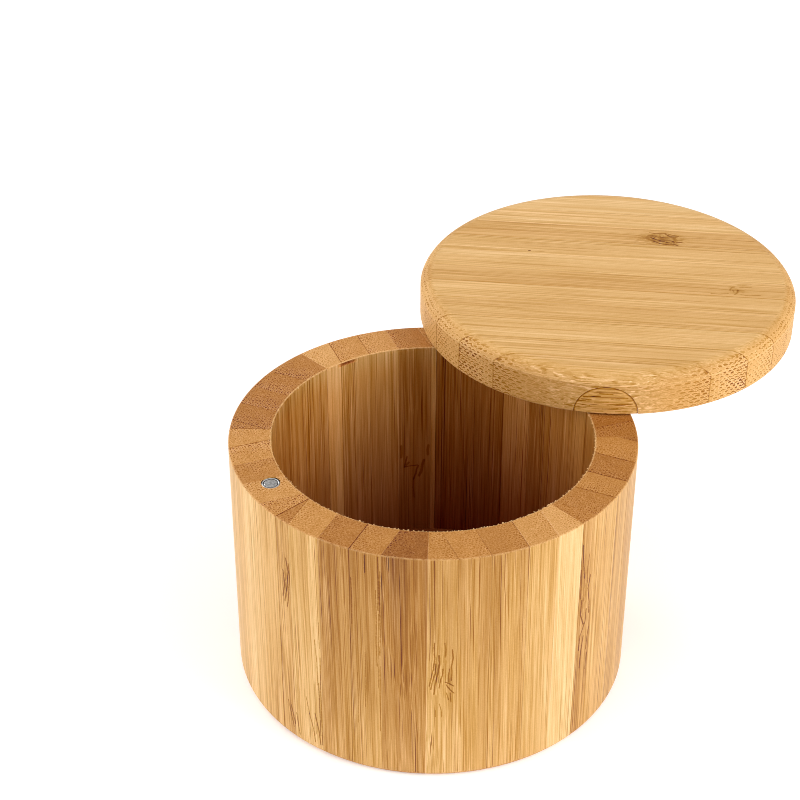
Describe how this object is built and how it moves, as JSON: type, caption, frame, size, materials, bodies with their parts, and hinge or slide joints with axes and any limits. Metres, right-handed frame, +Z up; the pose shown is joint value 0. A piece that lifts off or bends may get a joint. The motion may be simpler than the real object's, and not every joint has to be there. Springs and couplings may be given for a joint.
{
  "type": "salt box with swivel lid",
  "caption": "Round coopered bamboo salt box: a thick turned wall open at the top, and a flat round lid that swivels sideways on one hidden screw and is held shut by a pair of magnets.",
  "frame": {"origin": "centre of the base, on the axis of the round body, at the level of the table", "axes": "+Z up along the body's axis; the lid's pivot stands over the rim at 17.1 degrees from +X towards +Y, and the open lid lies to the back right (+X, +Y)"},
  "size_m": [0.1296, 0.1404, 0.0695],
  "materials": {
    "wall_bamboo_light": "oiled satin",
    "wall_bamboo_mid": "oiled satin",
    "wall_bamboo_dark": "oiled satin",
    "lid_bamboo": "oiled satin",
    "bottom_bamboo": "oiled satin",
    "plug_bamboo": "oiled satin",
    "screw_steel": "zinc plated",
    "magnet_nickel": "nickel plated"
  },
  "bodies": {
    "box": {"body_magnet": "magnet_nickel", "bottom_disc": "bottom_bamboo", "pivot_screw": "screw_steel", "stave_1_strip_1": "wall_bamboo_dark", "stave_1_strip_2": "wall_bamboo_light", "stave_1_strip_3": "wall_bamboo_mid", "stave_1_strip_4": "wall_bamboo_light", "stave_1_strip_5": "wall_bamboo_dark", "stave_2_strip_1": "wall_bamboo_light", "stave_2_strip_2": "wall_bamboo_mid", "stave_2_strip_3": "wall_bamboo_mid", "stave_2_strip_4": "wall_bamboo_light", "stave_2_strip_5": "wall_bamboo_light", "stave_3_strip_1": "wall_bamboo_dark", "stave_3_strip_2": "wall_bamboo_dark", "stave_3_strip_3": "wall_bamboo_mid", "stave_3_strip_4": "wall_bamboo_mid", "stave_3_strip_5": "wall_bamboo_mid", "stave_3_strip_6": "wall_bamboo_dark", "stave_4_strip_1": "wall_bamboo_dark", "stave_4_strip_2": "wall_bamboo_dark", "stave_4_strip_3": "wall_bamboo_mid", "stave_4_strip_4": "wall_bamboo_mid", "stave_4_strip_5": "wall_bamboo_mid", "stave_5_strip_1": "wall_bamboo_mid", "stave_5_strip_2": "wall_bamboo_mid", "stave_5_strip_3": "wall_bamboo_dark", "stave_5_strip_4": "wall_bamboo_dark", "stave_5_strip_5": "wall_bamboo_dark", "stave_6_strip_1": "wall_bamboo_light", "stave_6_strip_2": "wall_bamboo_dark", "stave_6_strip_3": "wall_bamboo_mid", "stave_6_strip_4": "wall_bamboo_mid", "stave_6_strip_5": "wall_bamboo_light", "stave_7_strip_1": "wall_bamboo_dark", "stave_7_strip_2": "wall_bamboo_dark", "stave_7_strip_3": "wall_bamboo_dark", "stave_7_strip_4": "wall_bamboo_dark", "stave_7_strip_5": "wall_bamboo_dark", "stave_8_strip_1": "wall_bamboo_light", "stave_8_strip_2": "wall_bamboo_light", "stave_8_strip_3": "wall_bamboo_mid", "stave_8_strip_4": "wall_bamboo_light", "stave_8_strip_5": "wall_bamboo_light"},
    "lid": {"lid_magnet": "magnet_nickel", "lid_strip_1": "lid_bamboo", "lid_strip_2": "lid_bamboo", "lid_strip_3": "lid_bamboo", "lid_strip_4": "lid_bamboo", "lid_strip_5": "lid_bamboo", "lid_strip_6": "lid_bamboo", "lid_strip_7": "lid_bamboo", "lid_strip_8": "lid_bamboo", "lid_strip_9": "lid_bamboo", "lid_strip_10": "lid_bamboo", "lid_strip_11": "lid_bamboo", "lid_strip_12": "lid_bamboo", "pivot_plug": "plug_bamboo"}
  },
  "joints": [
    {"name": "lid_swivel", "type": "hinge", "parent": "box", "child": "lid", "pos_m": [0.03823, 0.01176, 0.0595], "axis": [0, 0, 1], "continuous": true}
  ]
}
